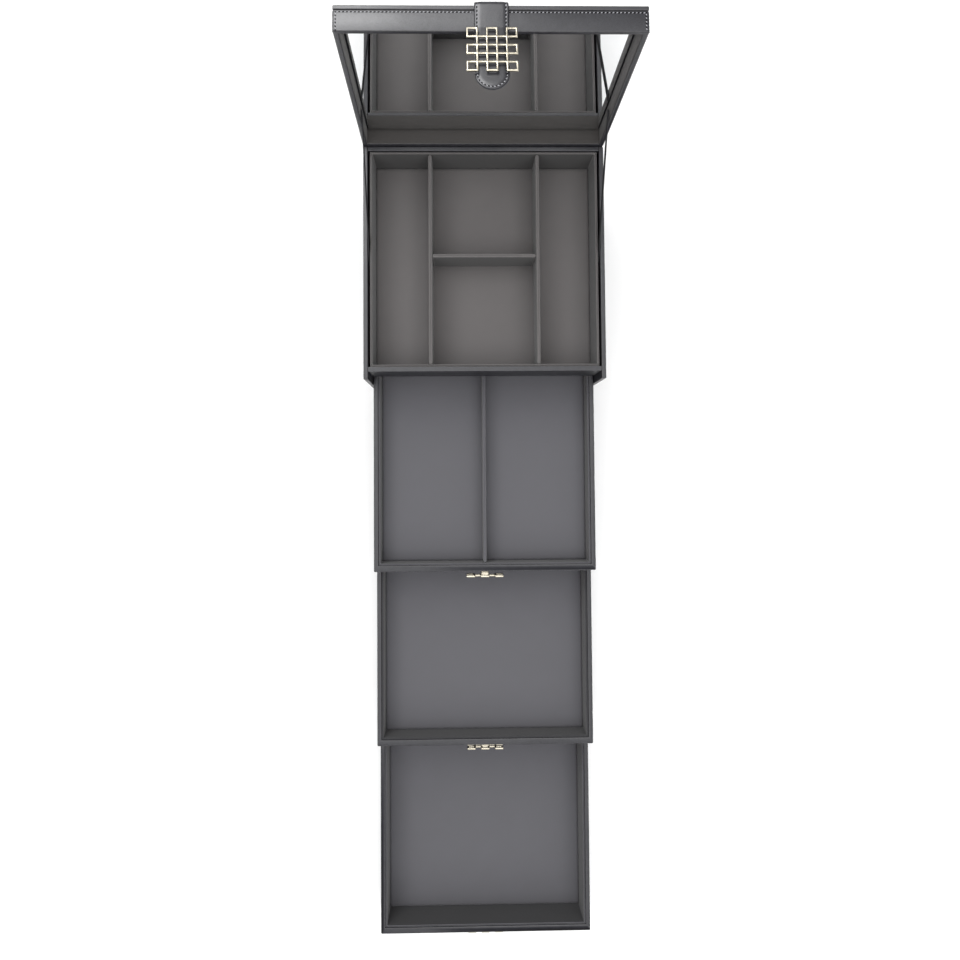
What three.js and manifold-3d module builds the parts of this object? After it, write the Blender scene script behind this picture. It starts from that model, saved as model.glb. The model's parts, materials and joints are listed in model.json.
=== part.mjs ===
// Makeup train case: a leatherette box with a divided top tray, three pull-out
// drawers, a mirrored lid held open by two ribbons, and a strap that closes the lid.
// Millimetres, +Z up, front towards -Y. The origin is the centre of the underside.

import * as THREE from 'three';
import { mergeVertices } from 'three/addons/utils/BufferGeometryUtils.js';
import Module from 'manifold-3d';

const wasm = await Module();
wasm.setup();

// ---- Driving dimensions -----------------------------------------------------

// The case
const caseWidth = 266;
const caseDepth = 258;
const sidePanel = 5;
const backPanel = 5;
const basePanel = 5;
const shelf = 4;
const frontRecess = 8.5;

// The top tray
const trayDepth = 54;
const trayFrontBoard = 5;
const linerWall = 2.5;
const linerGroove = 2.2;
const linerBelowRim = 2;
const trayPad = 2;
const dividerWall = 4;
const dividerBelowRim = 3;
const dividerFromCentre = 59.5;
const crossDividerY = 8;

// The drawers, from the top one down
const drawerNames = ['top', 'middle', 'bottom'];
const drawerHeights = [35, 40, 55];
const drawerKeptUnder = [19, 35, 5.5];
const drawerFront = 7;
const drawerWall = 5;
const drawerFloor = 3;
const drawerLiner = 2;
const drawerLinerBelowRim = 1.5;
const drawerPad = 1.5;
const sideClearance = 0.75;
const bottomClearance = 0.5;
const topClearance = 2;
const rearClearance = 1.5;

// The lid; its side and back walls stand over the case's panels
const lidHeight = 23;
const lidPanel = 4;
const lidFrontWall = 5;
const lidOpen = THREE.MathUtils.degToRad(92);
const mirrorGlass = 2;
const mirrorMargin = 1.5;

// The hinge strip and the two ribbons
const stripThickness = 0.8;
const stripReach = 18;
const ribbonWidth = 9;
const ribbonThickness = 0.9;
const ribbonLowPoint = { y: 2, belowRim: 10 };
const ribbonHighPoint = { fromHinge: 75, fromRim: 10 };

// The closing strap
const strapWidth = 29;
const strapThickness = 3;
const strapOnPanel = 46;
const strapPivotAboveRim = 2;
const strapReach = 58;
const strapRaised = THREE.MathUtils.degToRad(12);
const magnetRadius = 6;
const magnetThickness = 1.6;

// The lattice clasp and the lattice pulls
const cell = 8.2;
const bar = 1.6;
const claspCells = 5;
const claspThickness = 2;
const claspStandoff = 1.5;
const claspBelowPivot = 2.5;
const pullCellsWide = 5;
const pullCellsHigh = 3;
const pullThickness = 2;
const pullProjection = 7.5;
const pullPost = 8.5;
const screwShaftRadius = 1.5;
const screwHeadRadius = 3.5;
const screwHeadThickness = 1.6;
const screwInPost = 3.5;
const claspPlate = 12;
const claspPlateThickness = 1;

// Clearances
const gap = 0.3;
const boreClearance = 0.2;

// ---- Places worked out from them --------------------------------------------

const innerHalf = caseWidth / 2 - sidePanel;
const frontY = -caseDepth / 2;
const backY = caseDepth / 2;
const fasciaY = frontY + frontRecess;
const backInnerY = backY - backPanel;

const bays = [];
let bayFloor = basePanel;
for (let i = drawerHeights.length - 1; i >= 0; i--) {
  const floorZ = bayFloor + bottomClearance;
  const rimZ = floorZ + drawerHeights[i];
  bays[i] = { floorZ, rimZ, shelfZ: rimZ + topClearance };
  bayFloor = bays[i].shelfZ + shelf;
}
const trayFloorZ = bays[0].shelfZ + shelf;
const rimZ = trayFloorZ + trayDepth;

// Each drawer is pulled out until only its rear end is still under what is above it.
const drawerRearY = backInnerY - rearClearance;
const drawerDepth = drawerRearY - fasciaY;
const pulledOut = [];
for (const kept of drawerKeptUnder) {
  pulledOut.push((pulledOut.at(-1) ?? 0) + drawerDepth - kept);
}

// ---- Materials --------------------------------------------------------------

const paint = (color, roughness, metalness = 0) =>
  new THREE.MeshStandardMaterial({ color, roughness, metalness });
const leatherette = paint(0x24252b, 0.5);
const trayLining = paint(0x565250, 0.85);
const drawerLining = paint(0x4a4a4f, 0.85);
const paleMetal = paint(0xcfcac0, 0.25, 1);
const steel = paint(0x8e9196, 0.35, 1);
const silvering = paint(0xdfe3e6, 0.03, 1);
const ribbonCloth = paint(0x17171a, 0.7);

// ---- Shape helpers ----------------------------------------------------------

const group = new THREE.Group();

function add(name, geometry, material, parent = group) {
  const mesh = new THREE.Mesh(geometry, material);
  mesh.name = name;
  parent.add(mesh);
  return mesh;
}

// A block between two values on each axis.
function block([x0, x1], [y0, y1], [z0, z1]) {
  const geometry = new THREE.BoxGeometry(x1 - x0, y1 - y0, z1 - z0);
  return geometry.translate((x0 + x1) / 2, (y0 + y1) / 2, (z0 + z1) / 2);
}

// An upright frame: four thin walls in one piece, open above and below.
function frame([x0, x1], [y0, y1], [z0, z1], wall) {
  const outline = rectangle(x0, x1, y0, y1);
  outline.holes.push(rectangle(x0 + wall, x1 - wall, y0 + wall, y1 - wall));
  const geometry = new THREE.ExtrudeGeometry(outline, { depth: z1 - z0, bevelEnabled: false });
  return geometry.translate(0, 0, z0);
}

function rectangle(x0, x1, y0, y1) {
  const shape = new THREE.Shape();
  shape.moveTo(x0, y0);
  shape.lineTo(x1, y0);
  shape.lineTo(x1, y1);
  shape.lineTo(x0, y1);
  shape.closePath();
  return shape;
}

// A round bar along Y, from y0 to y1.
function barAlongY(radius, x, z, y0, y1) {
  const geometry = new THREE.CylinderGeometry(radius, radius, y1 - y0, 32);
  return geometry.translate(x, (y0 + y1) / 2, z);
}

function toSolid(geometry) {
  const bare = geometry.index ? geometry.toNonIndexed() : geometry.clone();
  bare.deleteAttribute('normal');
  bare.deleteAttribute('uv');
  const merged = mergeVertices(bare);
  return new wasm.Manifold(new wasm.Mesh({
    numProp: 3,
    vertProperties: new Float32Array(merged.attributes.position.array),
    triVerts: new Uint32Array(merged.index.array),
  }));
}

function toGeometry(solid) {
  const mesh = solid.getMesh();
  const geometry = new THREE.BufferGeometry();
  geometry.setAttribute('position', new THREE.BufferAttribute(mesh.vertProperties, 3));
  geometry.setIndex(new THREE.BufferAttribute(mesh.triVerts, 1));
  geometry.computeVertexNormals();
  return geometry;
}

const join = (...shapes) => toGeometry(shapes.map(toSolid).reduce((a, b) => a.add(b)));
const cut = (body, ...tools) =>
  toGeometry(tools.map(toSolid).reduce((a, b) => a.subtract(b), toSolid(body)));

// The lattice: inner bars run the full length, and the bars of the border are
// left out at every second cell, so its outline is a row of small squares.
function latticeBars(wide, high, y0, y1) {
  const bars = [];
  const half = bar / 2;
  const x = (column) => (column - wide / 2) * cell;
  const z = (row) => (row - high / 2) * cell;
  const upright = (column, from, to) =>
    bars.push(block([x(column) - half, x(column) + half], [y0, y1], [z(from) - half, z(to) + half]));
  const level = (row, from, to) =>
    bars.push(block([x(from) - half, x(to) + half], [y0, y1], [z(row) - half, z(row) + half]));
  for (let column = 1; column < wide; column++) upright(column, 0, high);
  for (let row = 1; row < high; row++) level(row, 0, wide);
  for (let row = 0; row < high; row += 2) {
    upright(0, row, row + 1);
    upright(wide, row, row + 1);
  }
  for (let column = 0; column < wide; column += 2) {
    level(0, column, column + 1);
    level(high, column, column + 1);
  }
  return bars;
}

// ---- Case body --------------------------------------------------------------

for (const [side, sign] of [['left', -1], ['right', 1]]) {
  const across = [sign * innerHalf, sign * (innerHalf + sidePanel)].sort((a, b) => a - b);
  add(`${side}_side_panel`, block(across, [frontY, backY], [0, rimZ]), leatherette);
}
add('back_panel', block([-innerHalf, innerHalf], [backInnerY, backY], [0, rimZ]), leatherette);
add('base_panel', block([-innerHalf, innerHalf], [frontY, backInnerY], [0, basePanel]), leatherette);

const shelfNames = ['tray_floor_board', 'upper_shelf', 'lower_shelf'];
shelfNames.forEach((name, i) => {
  const levels = [bays[i].shelfZ, bays[i].shelfZ + shelf];
  add(name, block([-innerHalf, innerHalf], [fasciaY, backInnerY], levels), leatherette);
});

// ---- Top tray ---------------------------------------------------------------

// The strap's magnet meets a second one, let into the back of the tray's front board.
const boardBackY = fasciaY + trayFrontBoard;
const keeperZ = rimZ - strapReach + strapWidth / 2;
const keeperFrontY = boardBackY - magnetThickness - gap;
add('tray_front_board', cut(
  block([-innerHalf, innerHalf], [fasciaY, boardBackY], [trayFloorZ, rimZ]),
  barAlongY(magnetRadius + boreClearance, 0, keeperZ, keeperFrontY - boreClearance, boardBackY + 1),
), leatherette);
add('keeper_magnet', barAlongY(magnetRadius, 0, keeperZ, keeperFrontY, boardBackY - gap), steel);

const linerX = innerHalf - linerGroove;
const linerFrontY = boardBackY + gap;
const linerBackY = backInnerY - gap;
const linerTopZ = rimZ - linerBelowRim;
add('tray_liner', frame(
  [-linerX, linerX], [linerFrontY, linerBackY], [trayFloorZ, linerTopZ], linerWall,
), trayLining);

const roomX = linerX - linerWall - gap;
const roomFrontY = linerFrontY + linerWall + gap;
const roomBackY = linerBackY - linerWall - gap;
const padTopZ = trayFloorZ + trayPad;
add('tray_floor_pad', block(
  [-roomX, roomX], [roomFrontY, roomBackY], [trayFloorZ, padTopZ],
), trayLining);

const dividerLevels = [padTopZ, rimZ - dividerBelowRim];
for (const [side, sign] of [['left', -1], ['right', 1]]) {
  const middle = sign * dividerFromCentre;
  add(`tray_divider_${side}`, block(
    [middle - dividerWall / 2, middle + dividerWall / 2], [roomFrontY, roomBackY], dividerLevels,
  ), trayLining);
}
const crossHalf = dividerFromCentre - dividerWall / 2 - gap;
add('tray_cross_divider', block(
  [-crossHalf, crossHalf], [crossDividerY - dividerWall / 2, crossDividerY + dividerWall / 2],
  dividerLevels,
), trayLining);

// ---- Drawers ----------------------------------------------------------------

// The pull is one casting: a lattice plate on a square post, drilled for its screw.
function pullCasting(postDepth) {
  const plateBackY = -postDepth;
  const lattice = latticeBars(pullCellsWide, pullCellsHigh, plateBackY - pullThickness, plateBackY);
  const half = pullPost / 2;
  const post = block([-half, half], [plateBackY - pullThickness, 0], [-half, half]);
  const hole = barAlongY(screwShaftRadius + boreClearance, 0, 0, -screwInPost - boreClearance, 1);
  return cut(join(...lattice, post), hole);
}

// A screw with its head behind the drawer front and its shaft running forwards.
function pullScrew() {
  const head = barAlongY(screwHeadRadius, 0, 0, drawerFront, drawerFront + screwHeadThickness);
  const shaft = barAlongY(screwShaftRadius, 0, 0, -screwInPost, drawerFront + screwHeadThickness / 2);
  return join(head, shaft);
}

drawerNames.forEach((place, i) => {
  const drawer = new THREE.Group();
  drawer.position.y = -pulledOut[i];
  group.add(drawer);

  const { floorZ, rimZ: topZ } = bays[i];
  const middleZ = (floorZ + topZ) / 2;
  const halfWidth = innerHalf - sideClearance;
  const frontBackY = fasciaY + drawerFront;
  const sideInnerX = halfWidth - drawerWall;
  const rearInnerY = drawerRearY - drawerWall;
  const boardTopZ = floorZ + drawerFloor;
  const piece = (part, geometry, material) => add(`${place}_drawer_${part}`, geometry, material, drawer);

  piece('front', cut(
    block([-halfWidth, halfWidth], [fasciaY, frontBackY], [floorZ, topZ]),
    barAlongY(screwShaftRadius + boreClearance, 0, middleZ, fasciaY - 1, frontBackY + 1),
  ), leatherette);
  piece('left_side', block([-halfWidth, -sideInnerX], [frontBackY, drawerRearY], [floorZ, topZ]), leatherette);
  piece('right_side', block([sideInnerX, halfWidth], [frontBackY, drawerRearY], [floorZ, topZ]), leatherette);
  piece('back', block([-sideInnerX, sideInnerX], [rearInnerY, drawerRearY], [floorZ, topZ]), leatherette);
  piece('floor', block(
    [-sideInnerX, sideInnerX], [frontBackY, rearInnerY], [floorZ, boardTopZ],
  ), leatherette);

  // The liner is hollowed out behind the screw's head.
  const linerHalf = sideInnerX - gap;
  const linerFront = frontBackY + gap;
  const linerRear = rearInnerY - gap;
  const headRoom = barAlongY(
    screwHeadRadius + boreClearance, 0, middleZ, linerFront - 1, frontBackY + screwHeadThickness + boreClearance,
  );
  piece('liner', cut(frame(
    [-linerHalf, linerHalf], [linerFront, linerRear], [boardTopZ, topZ - drawerLinerBelowRim], drawerLiner,
  ), headRoom), drawerLining);

  const padHalf = linerHalf - drawerLiner - gap;
  const padFront = linerFront + drawerLiner + gap;
  const padRear = linerRear - drawerLiner - gap;
  const padTop = boardTopZ + drawerPad;
  piece('pad', block([-padHalf, padHalf], [padFront, padRear], [boardTopZ, padTop]), drawerLining);
  if (place === 'top') {
    piece('divider', block(
      [-dividerWall / 2, dividerWall / 2], [padFront, padRear], [padTop, topZ - dividerBelowRim],
    ), drawerLining);
  }

  const pull = piece('pull', pullCasting(pullProjection - pullThickness), paleMetal);
  pull.position.set(0, fasciaY, middleZ);
  const screw = piece('pull_screw', pullScrew(), steel);
  screw.position.set(0, fasciaY, middleZ);
});

// ---- Lid --------------------------------------------------------------------

// The lid is laid out closed, in a group that turns about the hinge line.
const hingeY = backY + 0.2;
const hingeZ = rimZ + gap / 2;
const lid = new THREE.Group();
lid.position.set(0, hingeY, hingeZ);
lid.rotation.x = -lidOpen;
group.add(lid);
const lidParts = new THREE.Group();
lidParts.position.set(0, -hingeY, -hingeZ);
lid.add(lidParts);

const lidRimZ = rimZ + gap;
const lidTopZ = lidRimZ + lidHeight;
const panelZ = lidTopZ - lidPanel;
const wallLevels = [lidRimZ, panelZ - gap];
const lidHalf = caseWidth / 2;
const betweenWalls = lidHalf - sidePanel - gap;
add('lid_panel', block([-lidHalf, lidHalf], [frontY, backY], [panelZ, lidTopZ]), leatherette, lidParts);
add('lid_left_wall', block(
  [-lidHalf, -lidHalf + sidePanel], [frontY, backY], wallLevels,
), leatherette, lidParts);
add('lid_right_wall', block(
  [lidHalf - sidePanel, lidHalf], [frontY, backY], wallLevels,
), leatherette, lidParts);
add('lid_front_wall', block(
  [-betweenWalls, betweenWalls], [frontY, frontY + lidFrontWall], wallLevels,
), leatherette, lidParts);
add('lid_back_wall', block(
  [-betweenWalls, betweenWalls], [backY - backPanel, backY], wallLevels,
), leatherette, lidParts);

const mirrorHalf = lidHalf - sidePanel - mirrorMargin;
add('lid_mirror', block(
  [-mirrorHalf, mirrorHalf],
  [frontY + lidFrontWall + mirrorMargin, backY - backPanel - mirrorMargin],
  [panelZ - gap - mirrorGlass, panelZ - gap],
), silvering, lidParts);

// ---- Hinge strip and ribbons ------------------------------------------------

// The strip is glued down the back panel and, with the lid open, out along the
// lid's back wall, so it is an L in section.
const openPoint = (y, z) => {
  const point = new THREE.Vector3(0, y - hingeY, z - hingeZ);
  point.applyAxisAngle(new THREE.Vector3(1, 0, 0), -lidOpen);
  return { y: point.y + hingeY, z: point.z + hingeZ };
};
const stripWall = openPoint(backY + gap, lidRimZ + gap);
const stripEnd = openPoint(backY + gap, lidRimZ + stripReach);
const stripUnder = openPoint(backY + gap + stripThickness, lidRimZ + stripReach);
const stripCorner = openPoint(backY + gap + stripThickness, lidRimZ + gap);
const stripInnerY = backY + gap;
const strip = new THREE.Shape();
strip.moveTo(stripInnerY, rimZ - stripReach);
strip.lineTo(stripInnerY + stripThickness, rimZ - stripReach);
strip.lineTo(stripInnerY + stripThickness, stripCorner.z - stripThickness / 2);
strip.lineTo(stripUnder.y, stripUnder.z);
strip.lineTo(stripEnd.y, stripEnd.z);
strip.lineTo(stripInnerY, stripWall.z - gap);
strip.closePath();
const stripGeometry = new THREE.ExtrudeGeometry(strip, { depth: 2 * innerHalf, bevelEnabled: false });
stripGeometry.applyMatrix4(new THREE.Matrix4().set(
  0, 0, 1, -innerHalf,
  1, 0, 0, 0,
  0, 1, 0, 0,
  0, 0, 0, 1,
));
add('hinge_strip', stripGeometry, leatherette);

// Each ribbon runs straight from the groove beside the tray liner up to the lid's
// side wall, and stops the lid.
const ribbonX = innerHalf - linerGroove / 2;
const low = { y: ribbonLowPoint.y, z: rimZ - ribbonLowPoint.belowRim };
const high = openPoint(backY - ribbonHighPoint.fromHinge, lidRimZ + ribbonHighPoint.fromRim);
const ribbonLength = Math.hypot(high.y - low.y, high.z - low.z);
for (const [side, sign] of [['left', -1], ['right', 1]]) {
  const ribbon = add(
    `lid_ribbon_${side}`, new THREE.BoxGeometry(ribbonThickness, ribbonLength, ribbonWidth), ribbonCloth,
  );
  ribbon.position.set(sign * ribbonX, (low.y + high.y) / 2, (low.z + high.z) / 2);
  ribbon.rotation.x = Math.atan2(high.z - low.z, high.y - low.y);
}

// ---- Closing strap ----------------------------------------------------------

// The fixed end lies on the lid's panel and turns down over its front wall.
const strapHalf = strapWidth / 2;
const strapInnerY = frontY - gap;
const strapOuterY = strapInnerY - strapThickness;
const strapTopZ = lidTopZ + gap + strapThickness;
const pivotZ = lidRimZ + strapPivotAboveRim;
add('strap_fixed_end', join(
  block([-strapHalf, strapHalf], [strapOuterY, frontY + strapOnPanel], [lidTopZ + gap, strapTopZ]),
  block([-strapHalf, strapHalf], [strapOuterY, strapInnerY], [pivotZ + gap, strapTopZ]),
), leatherette, lidParts);

// The tongue bends at the bottom of the fixed end: its line is on the outer face.
const flap = new THREE.Group();
flap.position.set(0, strapOuterY, pivotZ);
flap.rotation.x = -strapRaised;
lidParts.add(flap);

const tongueLength = strapPivotAboveRim + strapReach;
const tongueOutline = new THREE.Shape();
tongueOutline.moveTo(-strapHalf, 0);
tongueOutline.lineTo(-strapHalf, -tongueLength + strapHalf);
tongueOutline.absarc(0, -tongueLength + strapHalf, strapHalf, Math.PI, 2 * Math.PI, false);
tongueOutline.lineTo(strapHalf, 0);
tongueOutline.closePath();
const tongueGeometry = new THREE.ExtrudeGeometry(
  tongueOutline, { depth: strapThickness, bevelEnabled: false, curveSegments: 32 },
);
tongueGeometry.rotateX(Math.PI / 2);
tongueGeometry.translate(0, strapThickness, 0);

// The outer face of the tongue is y = 0 and its back is y = strapThickness.
const tongueMagnetZ = strapHalf - tongueLength;
const claspZ = -claspBelowPivot - (claspCells * cell + bar) / 2;
const magnetPocket = barAlongY(
  magnetRadius + boreClearance, 0, tongueMagnetZ,
  strapThickness - magnetThickness - gap - boreClearance, strapThickness + 1,
);

// The clasp is one casting too. Its middle cell is open, so it has four pegs,
// where the bars of that cell cross, that go through the tongue into a plate.
const claspBackY = -gap - claspStandoff;
const claspFrontY = claspBackY - claspThickness;
const plateFrontY = strapThickness + gap;
const plateBackY = plateFrontY + claspPlateThickness;
function pegs(half, y0, y1, z) {
  const corners = [[-1, -1], [-1, 1], [1, -1], [1, 1]];
  return corners.map(([right, above]) => {
    const x = (right * cell) / 2;
    const level = z + (above * cell) / 2;
    return block([x - half, x + half], [y0, y1], [level - half, level + half]);
  });
}
const pegHalf = bar / 2;
const pegHoleHalf = pegHalf + boreClearance;

const tongueHoles = pegs(pegHoleHalf, -1, strapThickness + 1, claspZ);
add('strap_tongue', cut(tongueGeometry, magnetPocket, ...tongueHoles), leatherette, flap);
add('strap_magnet', barAlongY(
  magnetRadius, 0, tongueMagnetZ, strapThickness - magnetThickness - gap, strapThickness - gap,
), steel, flap);

const claspBars = latticeBars(claspCells, claspCells, claspFrontY, claspBackY);
const claspPegs = pegs(pegHalf, claspFrontY, plateBackY, 0);
const clasp = add('clasp_lattice', join(...claspBars, ...claspPegs), paleMetal, flap);
clasp.position.z = claspZ;

const plateHalf = claspPlate / 2;
const plateSquare = block([-plateHalf, plateHalf], [plateFrontY, plateBackY], [-plateHalf, plateHalf]);
const plateHoles = pegs(pegHoleHalf, plateFrontY - 1, plateBackY + 1, 0);
const plate = add('clasp_back_plate', cut(plateSquare, ...plateHoles), steel, flap);
plate.position.z = claspZ;

export default group;
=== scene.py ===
# %% [markdown]
# # A leatherette makeup case, dressed in Blender
#
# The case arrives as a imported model: boards, drawers, a lid, a strap and metal pulls, all at their real
# sizes and already joined by their hinges and slides. This lesson leaves those solids where they are and
# gives them what a maker would see last: soft leatherette, padded linings, sewn edges, ribbons and bright
# plating. Every length is in metres.

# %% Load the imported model
import json
import math

import bmesh
import bpy
from mathutils import Matrix, Vector, noise


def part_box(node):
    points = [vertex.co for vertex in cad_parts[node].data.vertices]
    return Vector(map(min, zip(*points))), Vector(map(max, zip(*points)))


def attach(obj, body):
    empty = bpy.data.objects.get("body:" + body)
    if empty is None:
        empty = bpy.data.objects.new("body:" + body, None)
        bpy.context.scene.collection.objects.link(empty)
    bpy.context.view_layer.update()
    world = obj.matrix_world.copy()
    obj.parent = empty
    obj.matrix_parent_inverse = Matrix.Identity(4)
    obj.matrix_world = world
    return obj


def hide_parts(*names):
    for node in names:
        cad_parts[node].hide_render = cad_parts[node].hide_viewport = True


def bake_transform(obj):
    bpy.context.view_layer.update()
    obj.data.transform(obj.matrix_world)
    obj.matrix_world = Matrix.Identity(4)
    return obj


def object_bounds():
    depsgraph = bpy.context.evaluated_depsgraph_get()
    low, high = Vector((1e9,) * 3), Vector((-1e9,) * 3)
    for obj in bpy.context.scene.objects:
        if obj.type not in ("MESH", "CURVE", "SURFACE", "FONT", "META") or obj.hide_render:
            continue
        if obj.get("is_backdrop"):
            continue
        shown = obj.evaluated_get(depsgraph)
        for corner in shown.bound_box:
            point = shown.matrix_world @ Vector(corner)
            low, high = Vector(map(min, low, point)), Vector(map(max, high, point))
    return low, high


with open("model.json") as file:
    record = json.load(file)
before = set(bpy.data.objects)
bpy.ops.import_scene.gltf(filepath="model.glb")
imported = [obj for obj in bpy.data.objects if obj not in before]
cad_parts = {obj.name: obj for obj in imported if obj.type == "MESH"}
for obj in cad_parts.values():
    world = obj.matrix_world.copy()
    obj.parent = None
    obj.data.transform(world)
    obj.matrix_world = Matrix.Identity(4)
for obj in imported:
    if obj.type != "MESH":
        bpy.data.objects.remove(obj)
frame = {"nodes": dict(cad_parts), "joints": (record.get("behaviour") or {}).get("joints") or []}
cad_low, cad_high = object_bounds()
MM = 0.001
DRAWERS = ("top", "middle", "bottom")
print("model box in mm:", [round(v / MM) for v in cad_high - cad_low])

# %% [markdown]
# ## The camera
#
# The case is seen almost straight from above, as if the viewer leant over it: the camera hangs in front
# of the case body and tips forwards by a few degrees, so the lip of the open lid is nearest to it. A
# camera in Blender looks along its own -Z, so with no turn at all it looks down. Three small turns are
# then enough, and a small shift frames the row of drawers without tipping the camera further.

# %% Camera over the case
camera_data = bpy.data.cameras.new("camera")
camera_data.lens = 35.63
camera_data.sensor_width = 36.0
camera_data.shift_y = -0.0625
camera_data.clip_start = 0.05
camera_data.clip_end = 30.0
camera = bpy.data.objects.new("camera", camera_data)
camera_place = (-0.02996, -0.22501, 1.24382)
roll = Matrix.Rotation(-0.0062, 4, "Z")
tip_forwards = Matrix.Rotation(0.0493, 4, "X")
swing = Matrix.Rotation(-0.0227, 4, "Y")
camera.matrix_world = Matrix.Translation(camera_place) @ (roll @ tip_forwards @ swing)
bpy.context.scene.collection.objects.link(camera)
bpy.context.scene.camera = camera
print("camera", round(camera_place[2], 2), "m up, lens", camera_data.lens, "mm")

# %% [markdown]
# ## Turned frames
#
# The lid stands open and the strap hangs off it at an angle. It is far easier to model both as if the lid
# were shut and square, and to turn the finished mesh at the end. The two matrices below do that turning.
# They come from the joints, so they stay right if the model changes.

# %% Matrices from shut to open
joints = {joint["name"]: joint for joint in frame["joints"]}


def about(point, turn):
    """A turn about a point instead of about the origin."""
    return Matrix.Translation(point) @ turn @ Matrix.Translation(-Vector(point))


def unturned_box(node, turn):
    """The lowest and highest corner that a CAD node had before it was turned."""
    back = turn.inverted()
    points = [back @ vertex.co for vertex in frame["nodes"][node].data.vertices]
    low = Vector([min(point[axis] for point in points) for axis in range(3)])
    high = Vector([max(point[axis] for point in points) for axis in range(3)])
    return low, high


lid_open = math.radians(joints["lid_hinge"]["range_deg"][1])
lid_turn = about(Vector(joints["lid_hinge"]["pos_m"]), Matrix.Rotation(-lid_open, 4, "X"))
strap_raised = math.radians(-joints["strap_bend"]["range_deg"][0])
pivot = lid_turn.inverted() @ Vector(joints["strap_bend"]["pos_m"])
strap_turn = lid_turn @ about(pivot, Matrix.Rotation(-strap_raised, 4, "X"))
print("lid open by", round(math.degrees(lid_open)), "degrees; strap pivot when shut:", pivot)

# %% [markdown]
# ## Writing a finish as a recipe
#
# A finish is a tree of shader nodes. Wiring dozens of nodes by hand hides the idea, so a small class
# wraps one socket and lets ordinary arithmetic add the Math nodes: `1 - grain` is a node, and so is
# `grain * 0.3`. A second class keeps the tree and has one method that adds any other node.

# %% Wire and Recipe
class Wire:
    """One output socket. Arithmetic on wires adds Math nodes."""

    def __init__(self, recipe, socket):
        self.recipe = recipe
        self.socket = socket

    def math(self, operation, first, second):
        """A Math node between two wires or numbers."""
        return self.recipe.node("ShaderNodeMath", {"operation": operation}, {0: first, 1: second})

    def __add__(self, other):
        return self.math("ADD", self, other)

    def __radd__(self, other):
        return self.math("ADD", other, self)

    def __sub__(self, other):
        return self.math("SUBTRACT", self, other)

    def __rsub__(self, other):
        return self.math("SUBTRACT", other, self)

    def __mul__(self, other):
        return self.math("MULTIPLY", self, other)

    def __rmul__(self, other):
        return self.math("MULTIPLY", other, self)


class Recipe:
    """A material with its Principled shader, and the nodes that feed it."""

    def __init__(self, name):
        self.material = bpy.data.materials.new(name)
        self.material.use_nodes = True
        self.tree = self.material.node_tree
        self.shader = self.tree.nodes["Principled BSDF"]
        self.place = self.node("ShaderNodeTexCoord", output="Object")

    def node(self, kind, settings=None, values=None, output=0):
        """Any node: its settings are set first, then the values or wires of its sockets."""
        made = self.tree.nodes.new(kind)
        for name, value in (settings or {}).items():
            setattr(made, name, value)
        self.feed(made, values or {})
        return Wire(self, made.outputs[output])

    def feed(self, made, values):
        """Links each wire to its socket, and sets each plain value on it."""
        for name, value in values.items():
            if isinstance(value, Wire):
                self.tree.links.new(value.socket, made.inputs[name])
            else:
                made.inputs[name].default_value = value

    def noise(self, per_metre, detail=2.0, vector=None):
        """Cloudy noise, with its number of clouds in a metre."""
        values = {"Vector": vector or self.place, "Scale": per_metre, "Detail": detail}
        return self.node("ShaderNodeTexNoise", values=values)

    def cells(self, per_metre):
        """The distance to the middle of the nearest cell."""
        values = {"Vector": self.place, "Scale": per_metre}
        return self.node("ShaderNodeTexVoronoi", values=values)

    def ramp(self, value, low, high):
        """0 below low, 1 above high, and smooth between them."""
        settings = {"interpolation_type": "SMOOTHSTEP"}
        values = {"Value": value, "From Min": low, "From Max": high}
        return self.node("ShaderNodeMapRange", settings, values)

    def colours(self, factor, dark, light):
        """A mix of two colours, each given as red, green and blue."""
        values = {0: factor, 6: (*dark, 1.0), 7: (*light, 1.0)}
        return self.node("ShaderNodeMix", {"data_type": "RGBA"}, values, output=2)

    def bump(self, height_mm):
        """A normal from a height in millimetres."""
        values = {"Height": height_mm, "Strength": 1.0, "Distance": MM}
        return self.node("ShaderNodeBump", values=values)

    def finish(self, values):
        """Feeds the shader and hands back the material."""
        self.feed(self.shader, values)
        return self.material


# %% [markdown]
# ## Leatherette
#
# Leatherette is a plastic skin embossed with a pebble grain. Under a soft light it is black in the
# hollows and blue-grey where the pebbles catch the light, so most of its colour is in fact gloss. Two
# scales of relief do the work: cells under a millimetre across for the pebbles, and broader noise for the
# slack of the skin over its board. The base colour is painted darker in the hollows between the pebbles,
# which is painted shade, and varies with the slack. On the edges, where hands and neighbours rub it, the
# grain is flatter and the gloss higher; the colour there is a lighter grey, a painted highlight.

# %% Leatherette finishes
def leatherette(name, grain_mm, dark, light, gloss):
    """Embossed skin. gloss is its roughness on a pebble that nothing has rubbed."""
    recipe = Recipe(name)
    pebbles = recipe.cells(1250.0)
    slack = recipe.noise(160.0, detail=3.0)
    handling = recipe.ramp(recipe.noise(14.0, detail=4.0), 0.35, 0.7)
    # Painted shade: the colour is darker where (1 - pebbles) is low, in the hollows, and follows the slack.
    tone = recipe.ramp(slack * 0.5 + (1 - pebbles) * 0.5, 0.25, 0.75)
    relief = (1 - pebbles) * grain_mm + slack * (grain_mm * 1.6)
    return recipe.finish({
        "Base Color": recipe.colours(tone, dark, light),
        "Roughness": gloss + handling * 0.09 + pebbles * 0.12,
        "Normal": recipe.bump(relief),
        "Specular IOR Level": 0.38,
    })


leather = leatherette(
    "leatherette", 0.05, (0.007, 0.007, 0.010), (0.017, 0.017, 0.022), 0.3)
# The edge finish: flatter grain and higher gloss for wear, and a lighter grey that is a painted highlight.
leather_edge_wear_and_highlight = leatherette(
    "leatherette_edge_wear_and_highlight", 0.02, (0.016, 0.016, 0.019), (0.035, 0.034, 0.037), 0.26)
print("leatherette finishes:", leather.name, leather_edge_wear_and_highlight.name)
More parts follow.
